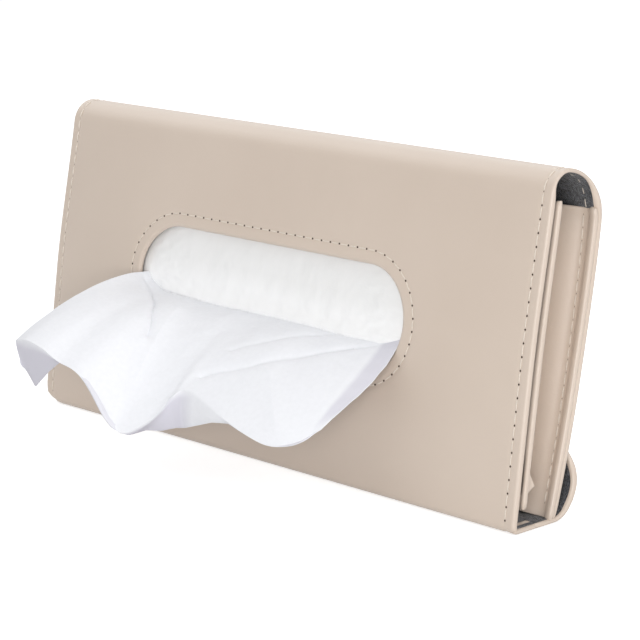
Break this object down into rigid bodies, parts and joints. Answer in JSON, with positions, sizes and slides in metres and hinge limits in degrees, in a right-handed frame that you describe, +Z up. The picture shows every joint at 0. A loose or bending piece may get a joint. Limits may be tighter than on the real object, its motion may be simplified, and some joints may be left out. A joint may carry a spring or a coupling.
{
  "type": "car tissue holder",
  "caption": "Folded leather case for a flat tissue refill, with an oval opening in front, V-folded side gussets, a magnetic flap below and snap straps behind.",
  "frame": {"origin": "the middle of the bottom panel's flat underside, on the surface that the holder stands on", "axes": "+X along the holder to the right as seen from the front, +Y from the front to the back, +Z up; the holder leans back 8.25 degrees on its bottom panel"},
  "size_m": [0.235, 0.0978, 0.1118],
  "materials": {
    "leather": "fine grain, soft sheen",
    "felt": "black felt",
    "board": "matt",
    "magnet": "plain",
    "snap_metal": "satin",
    "wrapper": "thin translucent film",
    "paper": "soft tissue"
  },
  "bodies": {
    "back": {"cover_top": "leather", "lining_top": "felt", "cover_back": "leather", "board_back": "board", "lining_back": "felt", "back_magnets": "magnet", "gusset_left": "leather", "gusset_right": "leather", "strap_tabs": "leather", "snap_studs": "snap_metal", "pack_film": "wrapper", "tissue_stack": "paper"},
    "front": {"cover_front": "leather", "board_front": "board", "lining_front": "felt", "opening_facing": "leather"},
    "bottom": {"cover_bottom": "leather", "lining_bottom": "felt"},
    "tongue": {"cover_tongue": "leather", "lining_tongue": "felt", "tongue_magnets": "magnet"},
    "strap_left": {"strap_left": "leather", "snap_cap_left": "snap_metal"},
    "strap_right": {"strap_right": "leather", "snap_cap_right": "snap_metal"},
    "tissue": {"tissue": "paper"}
  },
  "joints": [
    {"name": "front_lift", "type": "hinge", "parent": "back", "child": "front", "pos_m": [0, 0.00391, 0.1049], "axis": [-1, 0, 0], "range_deg": [0, 8], "deforming": ["gusset_left", "gusset_right"]},
    {"name": "flap_drop", "type": "hinge", "parent": "front", "child": "bottom", "pos_m": [0, -0.0103, 0.00086], "axis": [-1, 0, 0], "range_deg": [0, 110]},
    {"name": "tongue_peel", "type": "hinge", "parent": "bottom", "child": "tongue", "pos_m": [0, 0.01185, 0.00068], "axis": [-1, 0, 0], "range_deg": [0, 80]},
    {"name": "strap_left_swing", "type": "hinge", "parent": "back", "child": "strap_left", "pos_m": [-0.06, 0.0284, 0.08276], "axis": [1, 0, 0], "range_deg": [0, 120]},
    {"name": "strap_right_swing", "type": "hinge", "parent": "back", "child": "strap_right", "pos_m": [0.06, 0.0284, 0.08276], "axis": [1, 0, 0], "range_deg": [0, 120]},
    {"name": "tissue_pull", "type": "slide", "parent": "back", "child": "tissue", "axis": [0, -0.9897, 0.1435], "range_m": [0, 0.05]}
  ],
  "couplings": [
    {"joint": "front_lift", "follows": "flap_drop", "ratio": 0.072727}
  ]
}
